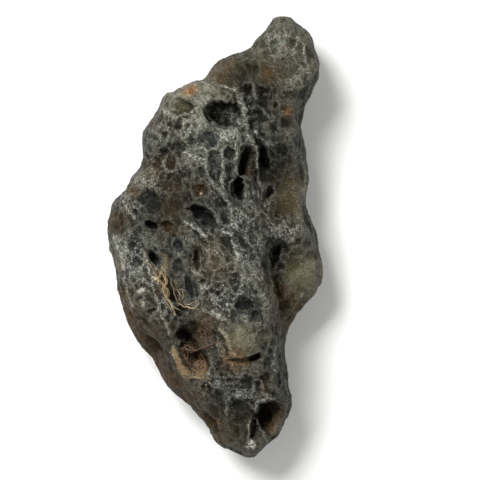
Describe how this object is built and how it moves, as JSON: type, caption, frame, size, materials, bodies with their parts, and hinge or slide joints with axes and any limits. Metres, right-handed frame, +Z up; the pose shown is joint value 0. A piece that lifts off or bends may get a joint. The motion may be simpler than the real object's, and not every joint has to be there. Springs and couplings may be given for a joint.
{
  "type": "raw obsidian nodule",
  "caption": "Elongated raw obsidian stone with a deeply pitted upper face, a raised horn at one end and a flattened belly that it rests on.",
  "frame": {"origin": "on the surface that the stone rests on, below the middle of its outline seen from above", "axes": "+Y along the stone towards the horn, +Z up, out of the face with the deep pits, +X towards the side with the wing"},
  "size_m": [0.0344, 0.0702, 0.0196],
  "materials": {
    "obsidian": "worn, waxy volcanic glass, dark grey-green with pale frosted ridges and glossy dark pits",
    "rootlet": "dry, straw-coloured plant fibre, matte",
    "soil": "dry brown soil caught in the pits, matte and crumbly"
  },
  "bodies": {
    "root": {"stone": "obsidian"}
  },
  "joints": []
}
